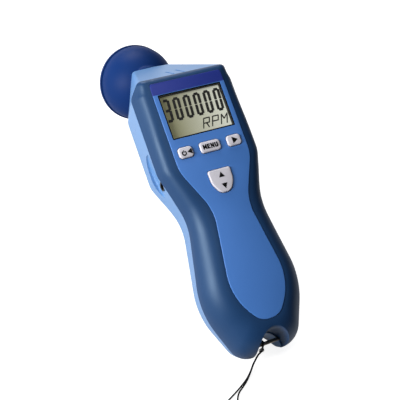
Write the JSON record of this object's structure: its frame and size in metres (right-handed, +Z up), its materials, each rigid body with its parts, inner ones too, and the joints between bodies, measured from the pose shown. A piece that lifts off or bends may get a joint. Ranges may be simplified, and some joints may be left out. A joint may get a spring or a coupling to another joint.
{
  "type": "pocket stroboscope",
  "caption": "Hand-held stroboscope with a waisted two-tone case, tilted display face, rubber keys, round lamp bell under a sloped nose and a wrist cord on a bar.",
  "frame": {"origin": "on the table under the middle of the case, which lies face up on its lamp ring and its heel", "axes": "+Z up from the table, +Y along the case from the strap end to the lamp, +X to the right of someone reading the display"},
  "size_m": [0.0776, 0.2347, 0.0758],
  "materials": {
    "soft_blue": "soft satin overmould, deep blue",
    "panel_blue": "satin printed panel, mid blue",
    "pale_blue": "fine satin moulding, pale blue",
    "bell_blue": "smooth semi-gloss, deep blue",
    "key_grey": "matt silicone, light grey, printed legends",
    "mat_grey": "matt silicone",
    "black_rubber": "matt black",
    "clear_window": "clear",
    "lcd": "grey-green liquid crystal display with dark segments",
    "white_plastic": "white",
    "contact_rubber": "layered conducting rubber",
    "board_green": "green solder mask",
    "black_plastic": "matt black moulding",
    "tray_grey": "plain grey moulding",
    "cell_jacket": "plain jacket",
    "spring_steel": "nickel plated",
    "bar_steel": "plain bright steel",
    "insert_brass": "turned",
    "sink_aluminium": "turned",
    "lamp_white": "phosphor under a clear dome",
    "bright_bowl": "bright metallised",
    "lens_clear": "clear",
    "red_lead": "insulated wire",
    "black_lead": "insulated wire",
    "black_cord": "braided black cord",
    "tie_grey": "plain dark tie"
  },
  "bodies": {
    "case": {"grip_rim": "soft_blue", "front_shell": "panel_blue", "face_panel": "panel_blue", "rear_shell": "pale_blue", "lamp_bell": "bell_blue", "lens_ring": "bell_blue", "keypad_mat": "mat_grey", "display_gasket": "black_rubber", "lens_seal": "black_rubber", "display_window": "clear_window", "lcd_glass": "lcd", "lcd_backlight": "white_plastic", "led_board": "white_plastic", "contact_strips": "contact_rubber", "main_board": "board_green", "key_switches": "black_plastic", "controller_chip": "black_plastic", "driver_parts": "black_plastic", "jack_socket": "black_plastic", "battery_tray": "tray_grey", "battery_left": "cell_jacket", "battery_right": "cell_jacket", "battery_springs": "spring_steel", "battery_contacts": "spring_steel", "strap_bar": "bar_steel", "case_screws": "bar_steel", "tripod_insert": "insert_brass", "heat_sink": "sink_aluminium", "led_emitter": "lamp_white", "reflector": "bright_bowl", "lens": "lens_clear", "led_leads": "red_lead", "battery_leads": "black_lead", "strap_hitch": "black_cord", "strap_sleeve": "black_cord", "strap_cord": "black_cord", "strap_coil": "black_cord", "strap_return": "black_cord", "strap_tie": "tie_grey"},
    "key_left": {"key_left": "key_grey"},
    "key_menu": {"key_menu": "key_grey"},
    "key_right": {"key_right": "key_grey"},
    "key_up_down": {"key_up_down": "key_grey"},
    "battery_door": {"battery_door": "pale_blue"}
  },
  "joints": [
    {"name": "key_left_press", "type": "slide", "parent": "case", "child": "key_left", "axis": [0, 0.3078, -0.9514], "range_m": [0, 0.0006], "stiffness_N_per_m": 1200},
    {"name": "key_menu_press", "type": "slide", "parent": "case", "child": "key_menu", "axis": [0, 0.3078, -0.9514], "range_m": [0, 0.0006], "stiffness_N_per_m": 1200},
    {"name": "key_right_press", "type": "slide", "parent": "case", "child": "key_right", "axis": [0, 0.3078, -0.9514], "range_m": [0, 0.0006], "stiffness_N_per_m": 1200},
    {"name": "key_up_down_rock", "type": "hinge", "parent": "case", "child": "key_up_down", "pos_m": [0, -0.01742, 0.05447], "axis": [1, 0, 0], "range_deg": [-3, 3], "stiffness_Nm_per_rad": 0.08},
    {"name": "battery_door_swing", "type": "hinge", "parent": "case", "child": "battery_door", "pos_m": [0, -0.06936, 0.00582], "axis": [-1, 0, 0], "range_deg": [0, 70]}
  ]
}
